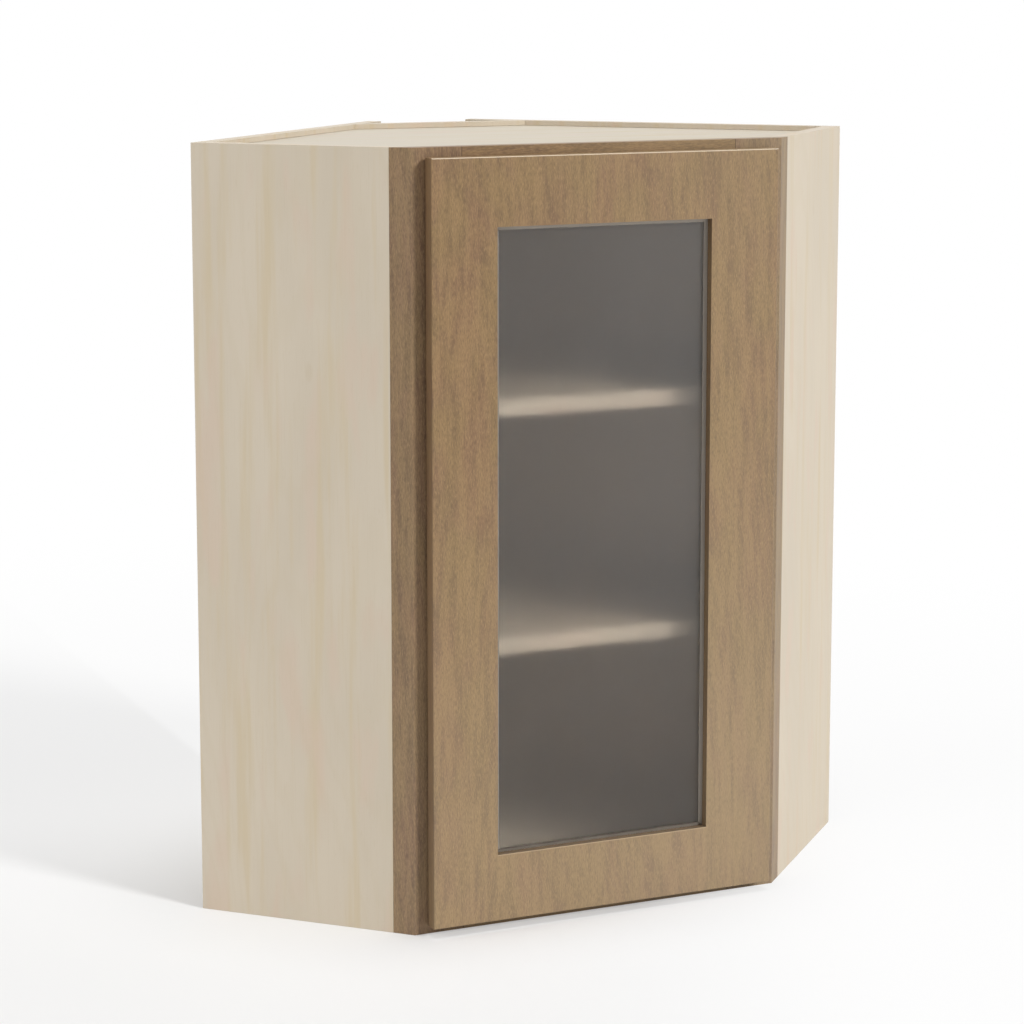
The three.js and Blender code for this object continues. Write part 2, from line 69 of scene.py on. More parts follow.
def set_camera():
    data = bpy.data.cameras.new("camera")
    data.lens, data.shift_y = LENS, LENS_DROP
    camera = linked("camera", data)
    camera.location = CAMERA_PLACE
    camera.rotation_mode = "QUATERNION"
    camera.rotation_quaternion = (-direction(CAMERA_TURN, CAMERA_PITCH)).to_track_quat("-Z", "Y")
    bpy.context.scene.camera = camera


# ---------------------------------------------------------------- node helpers


def node(tree, kind, feeds=None, **options):
    """Adds a shader node. feeds gives its inputs, each a plain value or the socket that feeds it."""
    made = tree.nodes.new("ShaderNode" + kind)
    for name, value in options.items():
        setattr(made, name, value)
    for name, value in (feeds or {}).items():
        if isinstance(value, bpy.types.NodeSocket):
            tree.links.new(value, made.inputs[name])
        else:
            made.inputs[name].default_value = value
    return made


def maths(tree, operation, *values):
    return node(tree, "Math", dict(enumerate(values)), operation=operation).outputs[0]


def vectors(tree, operation, *values):
    return node(tree, "VectorMath", dict(enumerate(values)), operation=operation).outputs[0]


def noise(tree, vector, scale=1.0, detail=2.0, roughness=0.5):
    feeds = {"Vector": vector, "Scale": scale, "Detail": detail, "Roughness": roughness}
    return node(tree, "TexNoise", feeds).outputs["Fac"]


def ramp(tree, value, low, high, out_low=0.0, out_high=1.0):
    """value, stretched so that low to high comes out as out_low to out_high."""
    feeds = {"Value": value, "From Min": low, "From Max": high, "To Min": out_low, "To Max": out_high}
    return node(tree, "MapRange", feeds, interpolation_type="SMOOTHSTEP").outputs[0]


def mixed(tree, share, first, second, blend="MIX"):
    made = node(tree, "Mix", {0: share, 6: first, 7: second}, data_type="RGBA", blend_type=blend)
    return made.outputs[2]


def tone(red, green, blue):
    """A tone as the linear values that nodes take."""
    def linear(c):
        c = c / 255
        return c / 12.92 if c <= 0.04045 else ((c + 0.055) / 1.055) ** 2.4
    return (linear(red), linear(green), linear(blue), 1.0)


def layered(tree, body, masks, layers):
    """Lays tones over a colour, each as (mask, where it starts, where it is full, share, tone)."""
    for mask, start, full, share, seen in layers:
        body = mixed(tree, ramp(tree, masks[mask], start, full, 0.0, share), body, tone(*seen))
    return body


def tinted(tree, body, tint):
    return mixed(tree, 1.0, body, (*tint, 1.0), "MULTIPLY")


def apart(tree, vector):
    """A vector's X, Y and Z, each as a value."""
    return node(tree, "SeparateXYZ", {0: vector}).outputs


def viewing_rays(tree):
    """1 for a ray that shows a surface, straight, mirrored or through glass, and 0 for one that lights it."""
    path = node(tree, "LightPath").outputs
    bent = maths(tree, "MAXIMUM", path["Is Glossy Ray"], path["Is Transmission Ray"])
    return maths(tree, "MAXIMUM", path["Is Camera Ray"], bent)


def new_group(name, inputs, outputs):
    """A shader node group with named sockets. Returns the tree and its input and output nodes."""
    tree = bpy.data.node_groups.new(name, "ShaderNodeTree")
    for title, kind, value in inputs:
        socket = tree.interface.new_socket(title, in_out="INPUT", socket_type="NodeSocket" + kind)
        if value is not None:
            socket.default_value = value
    for title, kind in outputs:
        tree.interface.new_socket(title, in_out="OUTPUT", socket_type="NodeSocket" + kind)
    return tree, tree.nodes.new("NodeGroupInput"), tree.nodes.new("NodeGroupOutput")


def group_in(tree, group, **values):
    """Places a node group in a material, with its own values."""
    made = tree.nodes.new("ShaderNodeGroup")
    made.node_tree = group
    for name, value in values.items():
        socket = made.inputs[name.replace("_", " ")]
        if isinstance(value, bpy.types.NodeSocket):
            tree.links.new(value, socket)
        else:
            socket.default_value = value
    return made


def blank_material(name):
    material = bpy.data.materials.new(name)
    material.use_nodes = True
    tree = material.node_tree
    tree.nodes.clear()
    return material, tree


def finish_material(tree, shader):
    out = tree.nodes.new("ShaderNodeOutputMaterial")
    tree.links.new(shader, out.inputs["Surface"])


# ---------------------------------------------------------------- the figure that the woods share

DRIFT_WIDTH, DRIFT_LENGTH = 0.16, 0.75  # of the slow wave that draws the rings out of round
RING_DRIFT = 0.16  # and how far it draws them
WANDER_WIDTH, WANDER_LENGTH = 0.018, 0.09  # of the smaller waves in each ring
HEART_PLACE = (0.055, 0.02, 0.0)  # of the tree, outside the board
HEART_LEAN = (0.10, 0.07, 0.0)
ARCH_LENGTH = 0.12  # the less, the longer the arches
FIBRE_WIDTH, FIBRE_LENGTH = 0.0011, 0.09
CLOUD_STRETCH = 3.5  # a cloud's length for its width
PORE_RELIEF, FIBRE_RELIEF = 0.7, 0.3  # their shares in the surface's height


def make_wood_figure():
    """Growth rings, short pores and soft clouds, with the grain running along the vector's Z."""
    tree, given, out = new_group(
        "wood figure",
        [
            ("Vector", "Vector", None),
            ("Ring Spacing", "Float", 0.005),
            ("Ring Wander", "Float", 1.0),
            ("Pore Width", "Float", 0.0012),
            ("Pore Length", "Float", 0.010),
            ("Cloud Size", "Float", 0.06),
        ],
        [(title, "Float") for title in ("Rings", "Pores", "Fibres", "Clouds", "Height")],
    )
    place = given.outputs["Vector"]

    def stretched(width, length):
        """The place in units of a width across the grain and a length along it."""
        across = maths(tree, "DIVIDE", 1.0, width)
        along = maths(tree, "DIVIDE", 1.0, length)
        scale = node(tree, "CombineXYZ", {0: across, 1: across, 2: along}).outputs[0]
        return vectors(tree, "MULTIPLY", place, scale)

    # The rings' heart lies outside the board and leans, so that they open into long arches.
    drift_place = stretched(DRIFT_WIDTH, DRIFT_LENGTH)
    drift = node(tree, "TexNoise", {"Vector": drift_place, "Scale": 1.0, "Detail": 1.5})
    shifted = vectors(tree, "MULTIPLY_ADD", drift.outputs["Color"], (RING_DRIFT, RING_DRIFT, 0.0), place)
    leaning = node(tree, "Mapping", {"Vector": shifted, "Location": HEART_PLACE, "Rotation": HEART_LEAN})
    flat = vectors(tree, "MULTIPLY", leaning.outputs[0], (1.0, 1.0, ARCH_LENGTH))
    radius = node(tree, "VectorMath", {0: flat}, operation="LENGTH").outputs["Value"]
    wander = noise(tree, stretched(WANDER_WIDTH, WANDER_LENGTH))
    wander = maths(tree, "MULTIPLY", wander, given.outputs["Ring Wander"])
    turns = maths(tree, "ADD", maths(tree, "DIVIDE", radius, given.outputs["Ring Spacing"]), wander)
    rings = maths(tree, "SINE", maths(tree, "MULTIPLY", turns, 2 * math.pi))
    rings = maths(tree, "MULTIPLY_ADD", rings, 0.5, 0.5)

    pore_place = stretched(given.outputs["Pore Width"], given.outputs["Pore Length"])
    pores = noise(tree, pore_place, roughness=0.6)
    fibres = noise(tree, stretched(FIBRE_WIDTH, FIBRE_LENGTH), roughness=0.55)
    size = given.outputs["Cloud Size"]
    clouds = noise(tree, stretched(size, maths(tree, "MULTIPLY", size, CLOUD_STRETCH)), detail=3.0)
    pore_height = maths(tree, "MULTIPLY", pores, PORE_RELIEF)
    height = maths(tree, "ADD", pore_height, maths(tree, "MULTIPLY", fibres, FIBRE_RELIEF))
    made = {"Rings": rings, "Pores": pores, "Fibres": fibres, "Clouds": clouds, "Height": height}
    for title, socket in made.items():
        tree.links.new(socket, out.inputs[title])
    return tree


WOOD_FIGURE = make_wood_figure()
ALONG_Z = (0.0, 0.0, 0.0)
ALONG_X = (0.0, math.radians(-90), 0.0)  # turns the grain to run from side to side
NO_SHIFT = (0.0, 0.0, 0.0)
NO_TINT = (1.0, 1.0, 1.0)


def grain_vector(tree, turn, shift):
    place = node(tree, "TexCoord").outputs["Object"]
    return node(tree, "Mapping", {"Vector": place, "Rotation": turn, "Location": shift}).outputs[0]


def varnished(tree, colour, rough, height, strength, depth):
    """The shader of a lacquered board, with its pores pressed in by depth metres."""
    bump = node(tree, "Bump", {"Height": height, "Strength": strength, "Distance": depth})
    feeds = {
        "Base Color": colour,
        "Roughness": rough,
        "Normal": bump.outputs[0],
        "IOR": 1.45,
        "Specular IOR Level": 0.4,
    }
    return node(tree, "BsdfPrincipled", feeds).outputs[0]


# ---------------------------------------------------------------- stained wood

STAIN_DARK, STAIN_LIGHT = (124, 97, 70), (136, 109, 76)  # the clouds that everything else lies on
STAIN_LAYERS = (
    ("Hue", 0.46, 0.64, 0.45, (137, 103, 76)),  # reddish patches
    ("Hue", 0.54, 0.38, 0.55, (136, 112, 73)),  # yellowish patches
    ("Bands", 0.46, 0.62, 0.48, (150, 121, 85)),  # pale streaks
    ("Bands", 0.50, 0.36, 0.42, (108, 84, 61)),  # dark streaks
    ("Rings", 0.1, 0.9, 0.30, (149, 120, 80)),
    ("Pores", 0.52, 0.66, 0.55, (162, 133, 94)),  # pale flecks between the pores
    ("Pores", 0.48, 0.34, 0.42, (93, 73, 54)),  # stain held in the pores
    ("Fibres", 0.45, 0.30, 0.20, (98, 78, 58)),
)
HUE_SCALE, BAND_SCALE = (30.0, 30.0, 9.0), (120.0, 120.0, 14.0)  # patches and streaks to the metre
HUE_SHIFT = (1.3, 4.2, 2.6)  # takes the patches off the streaks
# The pale tone of a painted sheen, the floor's reflection in the varnish. The same tone also pales the stain
# from left to right.
FOOT_SHEEN_AND_PALE_TONE = (206, 191, 164)
FOOT_SHEEN_FROM, FOOT_SHEEN_TO = 0.72, 0.05  # heights between which a painted sheen, the floor's reflection in the varnish, pales the stain towards the foot
FOOT_SHEEN_SHARE = 0.13  # of the painted sheen's pale tone at the foot
RIGHT_EDGE, RIGHT_PALE = 0.24, 0.09  # it also grows paler from the left to the right, by this share
SIDE_SHADE_TONE, SIDE_SHADE_SHARE = (80, 56, 36), 0.5  # painted shade on edges that look sideways
ARRIS_HIGHLIGHT_TONE, ARRIS_HIGHLIGHT_SHARE = (232, 218, 194), 0.9  # painted highlight along an upper arris
# the dark joint line: gathered stain and painted shade of the hairline gap
JOINT_STAIN_AND_SHADE_TONE, JOINT_STAIN_AND_SHADE_SHARE = (58, 44, 32), 0.8
JOINT_FROM, JOINT_TO = 0.0011, 0.0004  # the dark line's two sides, short of the joint
# painted shade on the sill's top, in the recess behind the glass
SILL_SHADE_TONE, SILL_SHADE_SHARE = (72, 56, 42), 0.6
SILL_BELOW = (0.5, 0.4)  # heights between which an upward face counts as the sill
# painted highlight on the sill's front arris
SILL_HIGHLIGHT_TONE, SILL_HIGHLIGHT_SHARE = (200, 178, 148), 0.45
SILL_HIGHLIGHT_FROM, SILL_HIGHLIGHT_TO = 0.0014, 0.0008  # below the sill
SIDEWAYS = (0.86, 0.99)  # how far a face has to look that way, from the first trace to all of it
UPWARDS, FORWARDS = (0.9, 0.98), (-0.9, -0.98)
ARRIS_LOWEST, ARRIS_HIGHEST = (0.45, 0.6), (0.95, 0.85)  # the slopes that make an upper arris
STAIN_BUMP, STAIN_DEPTH = 0.35, 0.0003  # strength and depth of the pores


def edge_light_and_joint_marks(tree, body, facing, parts, joint_at, sill_at):
    """Painted shade on sideways edges, a painted highlight on the upper arris, the dark joint line, and along
    the sill painted shade on its top and a painted highlight on its front edge.
    """
    sideways = maths(tree, "ABSOLUTE", facing["X"])
    # painted shade on faces that look sideways
    body = mixed(tree, ramp(tree, sideways, *SIDEWAYS, 0.0, SIDE_SHADE_SHARE), body, tone(*SIDE_SHADE_TONE))
    # a painted highlight on the upper arris
    sloping = ramp(tree, facing["Z"], *ARRIS_LOWEST)
    arris_highlight = maths(tree, "MULTIPLY", sloping, ramp(tree, facing["Z"], *ARRIS_HIGHEST))
    body = mixed(tree, maths(tree, "MULTIPLY", arris_highlight, ARRIS_HIGHLIGHT_SHARE), body, tone(*ARRIS_HIGHLIGHT_TONE))
    if joint_at:
        # a dark line in the joint, gathered stain and painted shade of the hairline gap
        side = maths(tree, "ABSOLUTE", parts["X"])
        joint = ramp(tree, side, joint_at - JOINT_FROM, joint_at - JOINT_TO, 0.0, JOINT_STAIN_AND_SHADE_SHARE)
        body = mixed(tree, joint, body, tone(*JOINT_STAIN_AND_SHADE_TONE))
    if sill_at:
        # painted shade on the sill's top
        level = ramp(tree, facing["Z"], *UPWARDS)
        top = maths(tree, "MULTIPLY", level, ramp(tree, parts["Z"], *SILL_BELOW))
        body = mixed(tree, maths(tree, "MULTIPLY", top, SILL_SHADE_SHARE), body, tone(*SILL_SHADE_TONE))
        # a painted highlight along the sill's front edge
        sill_highlight = ramp(tree, parts["Z"], sill_at - SILL_HIGHLIGHT_FROM, sill_at - SILL_HIGHLIGHT_TO)
        sill_highlight = maths(tree, "MULTIPLY", sill_highlight, SILL_HIGHLIGHT_SHARE)
        front = ramp(tree, facing["Y"], *FORWARDS)
        body = mixed(tree, maths(tree, "MULTIPLY", sill_highlight, front), body, tone(*SILL_HIGHLIGHT_TONE))
    return body


def stained_wood(name, turn, shift=NO_SHIFT, joint_at=None, sill_at=None, tint=NO_TINT, foot_sheen=1.0):
    """Brown stain over close-pored wood: short light and dark flecks on soft clouds of grey and yellow brown.

    joint_at is how far to each side of the middle the board ends, where a dark line lies in the joint:
    gathered stain and painted shade of the hairline gap.
    sill_at is the height of the opening's sill, with a painted highlight on its front edge and painted shade
    on its top.
    foot_sheen is how strongly a painted sheen, the floor's reflection, pales the stain towards the foot.
    """
    material, tree = blank_material(name)
    vector = grain_vector(tree, turn, shift)
    figure = group_in(
        tree,
        WOOD_FIGURE,
        Vector=vector,
        Ring_Spacing=0.0085,
        Ring_Wander=1.8,
        Pore_Width=0.0009,
        Pore_Length=0.0055,
        Cloud_Size=0.045,
    ).outputs
    hue_place = vectors(tree, "MULTIPLY", vectors(tree, "ADD", vector, HUE_SHIFT), HUE_SCALE)
    band_place = vectors(tree, "MULTIPLY", vector, BAND_SCALE)
    masks = {title: figure[title] for title in ("Rings", "Pores", "Fibres")}
    masks["Hue"] = noise(tree, hue_place)
    masks["Bands"] = noise(tree, band_place, detail=3.0, roughness=0.6)
    clouds = ramp(tree, figure["Clouds"], 0.32, 0.68)
    body = mixed(tree, clouds, tone(*STAIN_DARK), tone(*STAIN_LIGHT))
    body = layered(tree, body, masks, STAIN_LAYERS)
    place = node(tree, "TexCoord").outputs
    parts = apart(tree, place["Object"])
    # painted sheen: the floor's reflection, drawn as a pale tone that grows towards the foot
    foot = ramp(tree, parts["Z"], FOOT_SHEEN_FROM, FOOT_SHEEN_TO, 0.0, FOOT_SHEEN_SHARE * foot_sheen)
    right = ramp(tree, parts["X"], -RIGHT_EDGE, RIGHT_EDGE, 0.0, RIGHT_PALE)
    body = mixed(tree, maths(tree, "ADD", foot, right), body, tone(*FOOT_SHEEN_AND_PALE_TONE))
    body = edge_light_and_joint_marks(tree, body, apart(tree, place["Normal"]), parts, joint_at, sill_at)
    rough = ramp(tree, figure["Pores"], 0.3, 0.7, 0.42, 0.54)
    shader = varnished(tree, tinted(tree, body, tint), rough, figure["Height"], STAIN_BUMP, STAIN_DEPTH)
    finish_material(tree, shader)
    return material


# ---------------------------------------------------------------- pale ply

PLY_DARK, PLY_LIGHT = (201, 189, 170), (207, 195, 176)
PLY_LAYERS = (
    ("Streaks", 0.50, 0.68, 0.8, (202, 186, 157)),  # yellowish
    ("Blush", 0.52, 0.70, 0.6, (207, 187, 168)),  # pinkish
    ("Rings", 0.6, 1.0, 0.10, (196, 181, 152)),
    ("Fibres", 0.45, 0.28, 0.20, (192, 177, 152)),
    ("Pores", 0.60, 0.74, 0.16, (188, 170, 140)),
    ("Marks", 0.07, 0.03, 0.12, (176, 152, 112)),  # a few small dark spots
)
STREAK_SCALE, BLUSH_SCALE = (46.0, 46.0, 2.2), (30.0, 30.0, 7.0)  # streaks and blushes to the metre
BLUSH_SHIFT = (3.1, 1.7, 0.4)  # takes the blush off the streaks
MARK_STRETCH, MARKS_PER_METRE = (1.0, 1.0, 0.42), 11.0
PLY_BUMP, PLY_DEPTH = 0.12, 0.0002


def pale_ply(name, turn, shift=NO_SHIFT, tint=NO_TINT):
    """Clear lacquered maple: even cream veneer with faint yellow and pink streaks and a few small marks."""
    material, tree = blank_material(name)
    vector = grain_vector(tree, turn, shift)
    figure = group_in(
        tree,
        WOOD_FIGURE,
        Vector=vector,
        Ring_Spacing=0.011,
        Ring_Wander=0.9,
        Pore_Width=0.0016,
        Pore_Length=0.016,
        Cloud_Size=0.085,
    ).outputs
    streak_place = vectors(tree, "MULTIPLY", vector, STREAK_SCALE)
    blush_place = vectors(tree, "MULTIPLY", vectors(tree, "ADD", vector, BLUSH_SHIFT), BLUSH_SCALE)
    mark_place = vectors(tree, "MULTIPLY", vector, MARK_STRETCH)
    masks = {title: figure[title] for title in ("Rings", "Pores", "Fibres")}
    masks["Streaks"] = noise(tree, streak_place, detail=3.0, roughness=0.6)
    masks["Blush"] = noise(tree, blush_place)
    marks = node(tree, "TexVoronoi", {"Vector": mark_place, "Scale": MARKS_PER_METRE}, feature="F1")
    masks["Marks"] = marks.outputs["Distance"]
    body = mixed(tree, ramp(tree, figure["Clouds"], 0.3, 0.7), tone(*PLY_DARK), tone(*PLY_LIGHT))
    body = layered(tree, body, masks, PLY_LAYERS)
    rough = ramp(tree, figure["Clouds"], 0.3, 0.7, 0.46, 0.54)
    shader = varnished(tree, tinted(tree, body, tint), rough, figure["Height"], PLY_BUMP, PLY_DEPTH)
    finish_material(tree, shader)
    return material


# ---------------------------------------------------------------- glass, metal and rubber

GLASS_TONE = (250, 246, 243)
GLASS_PASSES = (0.54, 0.53, 0.52, 1.0)  # the share of a lamp's light that goes through
HAZE_HEIGHTS, HAZE_LOW_HIGH = (0.12, 0.5), (0.08, 0.27)  # the sheen of the etching grows upwards
HAZE_SIDES, HAZE_LEFT_RIGHT = (-0.14, 0.12), (0.85, 1.55)  # and from the left to the right

PAINTED_LEFT_SLOPE, PAINTED_RIGHT_SLOPE = (142, 136, 127), (160, 153, 144)  # painted light on the polished bevel: pale tones for its reflection, lighter on the slopes that face up and right, darker on those that face left and down
PAINTED_UPPER_SLOPE, PAINTED_LOWER_SLOPE = (186, 178, 168), (126, 119, 110)
SLOPE_RANGE = (0.02, 0.1)  # how far a face of the bevel leans
# painted shade along the foot of the lower slope
FOOT_SHADE_LINE_TONE = (92, 84, 77)
FOOT_SHADE_LINE_FROM, FOOT_SHADE_LINE_TO = 0.0014, 0.0010  # below the lower slope's inner edge
RIPPLE_TONE, RIPPLE_SHARE = (200, 195, 188), 0.08

NICKEL_DARK, NICKEL_LIGHT = (196, 194, 188), (220, 218, 212)
BRUSH_SCALE = (2500.0, 2500.0, 90.0)  # brush lines to the metre, which run upright
BRUSH_ROUGH = 0.16  # what they add to the roughness
RUBBER_DARK, RUBBER_LIGHT = (222, 220, 212), (236, 234, 228)


def frosted_glass():
    """Grey etched glass. Lamps reach what stands behind it through the clear shader."""
    material, tree = blank_material("frosted glass grey")
    place = node(tree, "TexCoord").outputs["Object"]
    etch = noise(tree, place, scale=900.0, detail=3.0, roughness=0.6)
    patches = noise(tree, place, scale=14.0)
    parts = apart(tree, place)
    rise = ramp(tree, parts["Z"], *HAZE_HEIGHTS, *HAZE_LOW_HIGH)
    haze = maths(tree, "MULTIPLY", rise, ramp(tree, parts["X"], *HAZE_SIDES, *HAZE_LEFT_RIGHT))
    bump = node(tree, "Bump", {"Height": etch, "Strength": 0.08, "Distance": 0.0002})
    feeds = {
        "Base Color": tone(*GLASS_TONE),
        "Roughness": ramp(tree, patches, 0.3, 0.7, 0.30, 0.35),
        "Normal": bump.outputs[0],
        "IOR": 1.45,
        "Transmission Weight": 1.0,
        "Coat Weight": haze,
        "Coat Roughness": 0.3,
        "Coat IOR": 1.6,
    }
    glass = node(tree, "BsdfPrincipled", feeds).outputs[0]
    clear = node(tree, "BsdfTransparent", {"Color": GLASS_PASSES}).outputs[0]
    lighting = node(tree, "LightPath").outputs["Is Shadow Ray"]
    finish_material(tree, node(tree, "MixShader", {0: lighting, 1: glass, 2: clear}).outputs[0])
    return material


def polished_margin(foot):
    """The glass's polished bevel: painted light, a pale tone for each of its four slopes, and a painted shade
    line along the foot.
    """
    material, tree = blank_material("polished glass margin")
    place = node(tree, "TexCoord").outputs
    lean = apart(tree, place["Normal"])
    parts = apart(tree, place["Object"])
    ripple = noise(tree, place["Object"], scale=60.0)
    start, full = SLOPE_RANGE
    downward = ramp(tree, lean["Z"], -start, -full)
    # painted light and shade: each slope's tone follows which way it leans
    colour = mixed(tree, ramp(tree, lean["X"], start, full), tone(*PAINTED_LEFT_SLOPE), tone(*PAINTED_RIGHT_SLOPE))
    colour = mixed(tree, ramp(tree, lean["Z"], start, full), colour, tone(*PAINTED_UPPER_SLOPE))
    colour = mixed(tree, downward, colour, tone(*PAINTED_LOWER_SLOPE))
    # a painted shade line along the lower slope's foot
    line = ramp(tree, parts["Z"], foot + MARGIN_ENDS - FOOT_SHADE_LINE_FROM, foot + MARGIN_ENDS - FOOT_SHADE_LINE_TO)
    colour = mixed(tree, maths(tree, "MULTIPLY", line, downward), colour, tone(*FOOT_SHADE_LINE_TONE))
    colour = mixed(tree, ramp(tree, ripple, 0.3, 0.7, 0.0, RIPPLE_SHARE), colour, tone(*RIPPLE_TONE))
    feeds = {"Base Color": colour, "Roughness": ramp(tree, ripple, 0.3, 0.7, 0.36, 0.44), "IOR": 1.45}
    finish_material(tree, node(tree, "BsdfPrincipled", feeds).outputs[0])
    return material


def plated_steel():
    """Nickel plating with a faint brushed bloom."""
    material, tree = blank_material("plated steel")
    place = node(tree, "TexCoord").outputs["Object"]
    bloom = noise(tree, place, scale=160.0, detail=3.0, roughness=0.55)
    brush = noise(tree, vectors(tree, "MULTIPLY", place, BRUSH_SCALE), roughness=0.6)
    bump = node(tree, "Bump", {"Height": brush, "Strength": 0.05, "Distance": 0.0001})
    rough = ramp(tree, bloom, 0.3, 0.7, 0.20, 0.28)
    feeds = {
        "Base Color": mixed(tree, ramp(tree, bloom, 0.3, 0.7), tone(*NICKEL_DARK), tone(*NICKEL_LIGHT)),
        "Metallic": 1.0,
        "Roughness": maths(tree, "MULTIPLY_ADD", brush, BRUSH_ROUGH, rough),
        "Normal": bump.outputs[0],
    }
    finish_material(tree, node(tree, "BsdfPrincipled", feeds).outputs[0])
    return material


def soft_rubber():
    """A clear rubber pad, slightly clouded inside."""
    material, tree = blank_material("soft rubber")
    haze = noise(tree, node(tree, "TexCoord").outputs["Object"], scale=260.0)
    feeds = {
        "Base Color": mixed(tree, ramp(tree, haze, 0.3, 0.7), tone(*RUBBER_DARK), tone(*RUBBER_LIGHT)),
        "Roughness": ramp(tree, haze, 0.3, 0.7, 0.28, 0.38),
        "IOR": 1.5,
        "Transmission Weight": 0.6,
    }
    finish_material(tree, node(tree, "BsdfPrincipled", feeds).outputs[0])
    return material


# ---------------------------------------------------------------- finishes on the CAD pieces

STILE_FOOT_SHEEN = 0.35  # the frame's stiles take little of the painted floor sheen towards the foot
LEFT_TINT, LEFT_SHIFT = (0.97, 1.0, 1.12), (0.4, 0.1, 0.2)  # of the frame's left stile and its figure
# the right stile's own greyer tone, made lighter still by a painted sheen where it is seen at a grazing angle
RIGHT_TINT_AND_SHEEN, RIGHT_SHIFT = (1.02, 1.08, 1.20), (0.7, 0.3, 0.2)
SHELF_SHADE_TINT, SHELF_SHIFT = (0.645, 0.65, 0.645), (1.7, 0.9, 0.35)  # painted shade: the shelves are darker than the walls
TOP_TINT = (0.94, 0.97, 1.0)  # and the top is a little greyer


def frame_stile_wood(name, shift, tint):
    return stained_wood(name, ALONG_Z, shift, tint=tint, foot_sheen=STILE_FOOT_SHEEN)


def dress_nodes():
    """Gives every CAD piece its finish, by the slot that the frame names and, in the woods, by the piece."""
    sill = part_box("door_bottom_rail")[1].z
    rail_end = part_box("frame_right_stile")[0].x
    door_stain = stained_wood("stained wood door", ALONG_Z)
    cross_stain = stained_wood("stained wood crosswise", ALONG_X, joint_at=rail_end)
    upright_ply = pale_ply("pale ply upright", ALONG_Z)
    cross_ply = pale_ply("pale ply crosswise", ALONG_X, tint=TOP_TINT)
    shelf_ply = pale_ply("pale ply shelves", ALONG_X, SHELF_SHIFT, SHELF_SHADE_TINT)
    by_piece = {
        "door_bottom_rail": stained_wood("stained wood sill", ALONG_Z, sill_at=sill),
        "frame_left_stile": frame_stile_wood("stained wood left stile", LEFT_SHIFT, LEFT_TINT),
        "frame_right_stile": frame_stile_wood("stained wood right stile", RIGHT_SHIFT, RIGHT_TINT_AND_SHEEN),
        "frame_bottom_rail": cross_stain,
        "frame_top_rail": cross_stain,
        "bottom_panel": cross_ply,
        "top_panel": cross_ply,
        "lower_shelf": shelf_ply,
        "upper_shelf": shelf_ply,
    }
    by_slot = {
        "stained_birch": door_stain,
        "maple_ply": upright_ply,
        "frosted_glass": frosted_glass(),
        "nickel": plated_steel(),
        "clear_rubber": soft_rubber(),
    }
    for name, piece in NODES.items():
        piece.material_slots[0].material = by_piece.get(name, by_slot[SLOT_OF[name]])


# ---------------------------------------------------------------- new pieces

MARGIN_WIDTH = 0.0056  # of the polished bevel that shows inside the door's stiles
MARGIN_ENDS = 0.0042  # of the same above the bottom rail and below the top rail
MARGIN_DROP = 0.0008  # how far the bevel has fallen back where it meets the door frame
MARGIN_THICK = 0.00004
MARGIN_GAP = 0.00005  # between the margin's skin and the glass


def piece_from(form, name, material, body):
    """A finished piece from a bmesh, riding on that body."""
    bmesh.ops.recalc_face_normals(form, faces=form.faces)
    mesh = bpy.data.meshes.new(name)
    form.to_mesh(mesh)
    form.free()
    mesh.materials.append(material)
    piece = linked(name, mesh)
    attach(piece, body)
    return piece


def sight_opening():
    """The lowest and highest corner of the door's opening, as the glass fills it."""
    left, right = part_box("door_latch_stile")[1].x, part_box("door_hinge_stile")[0].x
    bottom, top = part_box("door_bottom_rail")[1].z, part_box("door_top_rail")[0].z
    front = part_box("glass_pane")[0].y
    return Vector((left, front, bottom)), Vector((right, front, top))


def glass_margin():
    """A thin skin on the glass's bevel, sloping back towards the door frame all round."""
    low, high = sight_opening()
    width, height = high.x - low.x - MARGIN_GAP, high.z - low.z - MARGIN_GAP
    middle = (low + high) / 2
    form = bmesh.new()
    bmesh.ops.create_grid(form, x_segments=1, y_segments=1, size=0.5)
    bmesh.ops.scale(form, verts=form.verts, vec=(width, height, 1.0))
    bmesh.ops.rotate(form, verts=form.verts, matrix=Matrix.Rotation(math.radians(90), 3, "X"))
    bmesh.ops.translate(form, verts=form.verts, vec=(middle.x, low.y + MARGIN_DROP - MARGIN_GAP, middle.z))
    field = form.faces[:]
    bmesh.ops.inset_individual(form, faces=field, thickness=MARGIN_WIDTH, use_even_offset=True)
    inner = list({corner for face in field for corner in face.verts})
    bmesh.ops.delete(form, geom=field, context="FACES_ONLY")
    for corner in inner:
        side = 1 if corner.co.z > middle.z else -1
        corner.co += Vector((0.0, -MARGIN_DROP, side * (MARGIN_WIDTH - MARGIN_ENDS)))
    made = bmesh.ops.extrude_face_region(form, geom=form.faces[:], use_keep_orig=True)["geom"]
    back = [item for item in made if isinstance(item, bmesh.types.BMVert)]
    bmesh.ops.translate(form, verts=back, vec=(0.0, MARGIN_THICK, 0.0))
    return piece_from(form, "glass_margin", polished_margin(low.z), "door")


# ---------------------------------------------------------------- floor

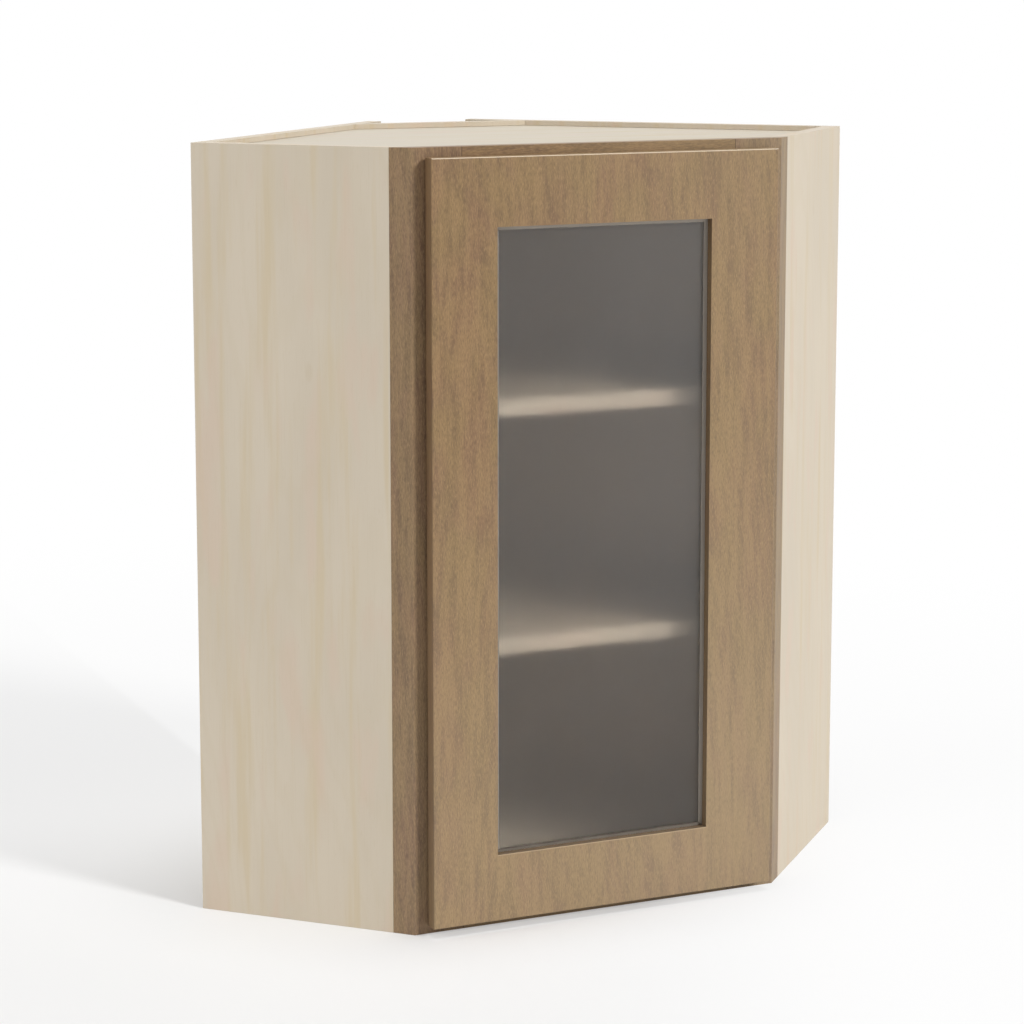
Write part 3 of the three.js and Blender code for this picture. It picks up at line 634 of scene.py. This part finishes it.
FLOOR_DROP = 0.0002  # below the cabinet's foot
FLOOR_REACH = 40.0
FLOOR_PAINT = (0.82, 0.82, 0.82, 1.0)
PLAIN_WHITE = (1.0, 1.0, 1.0, 1.0)
POOL_MIDDLE = (-0.60, -0.45, 0.0)  # of the part of the floor that keeps the most shadow
WHITE_FROM, WHITE_TO = 1.0, 2.8  # the floor turns plain white between these distances from there
SLANT = -0.5  # the line to the right of which the floor is whiter leans by this much X for each Y
RIGHT_FROM, RIGHT_TO = -0.07, 0.55
LEFT_SHARE, RIGHT_SHARE = 0.04, 0.88  # of white in the floor's colour on either side of that line
RIGHT_FRONT, RIGHT_BACK, RIGHT_BACK_KEEPS = -0.2, 0.4, 0.55  # there is less of it towards the back
BEHIND_FROM, BEHIND_TO, BEHIND_SHARE = -0.25, 0.4, 0.54  # and more behind the cabinet's front
SHADE_SHARE = 0.35  # and in the shade right under the door
SHADE_OUTSIDE, SHADE_INSIDE = 0.014, 0.006  # where it starts and is full, past and short of the door's edge
SHADE_BEFORE, SHADE_BEHIND = 0.013, 0.002  # the same at the door's face


def floor_white(tree, place):
    """The share of plain white in the floor's colour. The rest is paint, which takes the cabinet's shadow."""
    parts = apart(tree, place)
    reach = node(tree, "VectorMath", {0: place, 1: POOL_MIDDLE}, operation="DISTANCE").outputs["Value"]
    slant = maths(tree, "MULTIPLY_ADD", parts["Y"], SLANT, parts["X"])
    right = ramp(tree, slant, RIGHT_FROM, RIGHT_TO, LEFT_SHARE, RIGHT_SHARE)
    backwards = ramp(tree, parts["Y"], RIGHT_FRONT, RIGHT_BACK, 1.0, RIGHT_BACK_KEEPS)
    right = maths(tree, "MULTIPLY", right, backwards)
    edge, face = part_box("door_hinge_stile")[1].x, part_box("door_hinge_stile")[0].y
    across = ramp(tree, maths(tree, "ABSOLUTE", parts["X"]), edge + SHADE_OUTSIDE, edge - SHADE_INSIDE)
    under = ramp(tree, parts["Y"], face - SHADE_BEFORE, face + SHADE_BEHIND, 0.0, SHADE_SHARE)
    under = maths(tree, "MULTIPLY", across, under)
    kept = maths(tree, "SUBTRACT", 1.0, maths(tree, "MAXIMUM", right, under))
    behind = ramp(tree, parts["Y"], BEHIND_FROM, BEHIND_TO, 1.0, 1.0 - BEHIND_SHARE)
    kept = maths(tree, "MULTIPLY", kept, behind)
    kept = maths(tree, "MULTIPLY", kept, ramp(tree, reach, WHITE_FROM, WHITE_TO, 1.0, 0.0))
    return maths(tree, "SUBTRACT", 1.0, kept)


def pale_floor():
    material, tree = blank_material("pale floor")
    place = node(tree, "TexCoord").outputs["Object"]
    share = maths(tree, "MULTIPLY", floor_white(tree, place), viewing_rays(tree))
    paint = node(tree, "BsdfDiffuse", {"Color": FLOOR_PAINT}).outputs[0]
    white = node(tree, "Emission", {"Color": PLAIN_WHITE, "Strength": 1.0}).outputs[0]
    finish_material(tree, node(tree, "MixShader", {0: share, 1: paint, 2: white}).outputs[0])
    return material


def make_floor():
    form = bmesh.new()
    bmesh.ops.create_grid(form, x_segments=1, y_segments=1, size=FLOOR_REACH)
    bmesh.ops.translate(form, verts=form.verts, vec=(0.0, 0.0, -FLOOR_DROP))
    mesh = bpy.data.meshes.new("floor")
    form.to_mesh(mesh)
    form.free()
    mesh.materials.append(pale_floor())
    linked("floor", mesh)


# ---------------------------------------------------------------- light and backdrop

ROOM_LEVEL = 0.295  # of the light that the white room sends from all sides
LAMPS = (  # name, turn and pitch in degrees, level, spread in degrees
    ("key lamp", 31, 28, 0.64, 11),
    ("top lamp", 0, 88, 0.39, 24),
    ("left lamp", -96, 20, 0.30, 44),
)


def set_world():
    """A white backdrop that lights the cabinet at the room's level."""
    world = bpy.data.worlds.new("white room")
    world.use_nodes = True
    tree = world.node_tree
    tree.nodes.clear()
    strength = maths(tree, "MULTIPLY_ADD", viewing_rays(tree), 1.0 - ROOM_LEVEL, ROOM_LEVEL)
    light = node(tree, "Background", {"Color": PLAIN_WHITE, "Strength": strength})
    out = tree.nodes.new("ShaderNodeOutputWorld")
    tree.links.new(light.outputs[0], out.inputs["Surface"])
    bpy.context.scene.world = world


def add_lamp(name, turn, pitch, level, spread):
    """A distant lamp at that turn and pitch. level is what it adds to a white surface that faces it."""
    data = bpy.data.lights.new(name, "SUN")
    data.energy = level * math.pi
    data.angle = math.radians(spread)
    lamp = linked(name, data)
    lamp.rotation_mode = "QUATERNION"
    lamp.rotation_quaternion = direction(turn, pitch).to_track_quat("Z", "Y")


set_camera()
dress_nodes()
glass_margin()
make_floor()
set_world()
for lamp in LAMPS:
    add_lamp(*lamp)

bpy.context.scene.view_settings.view_transform = "Standard"
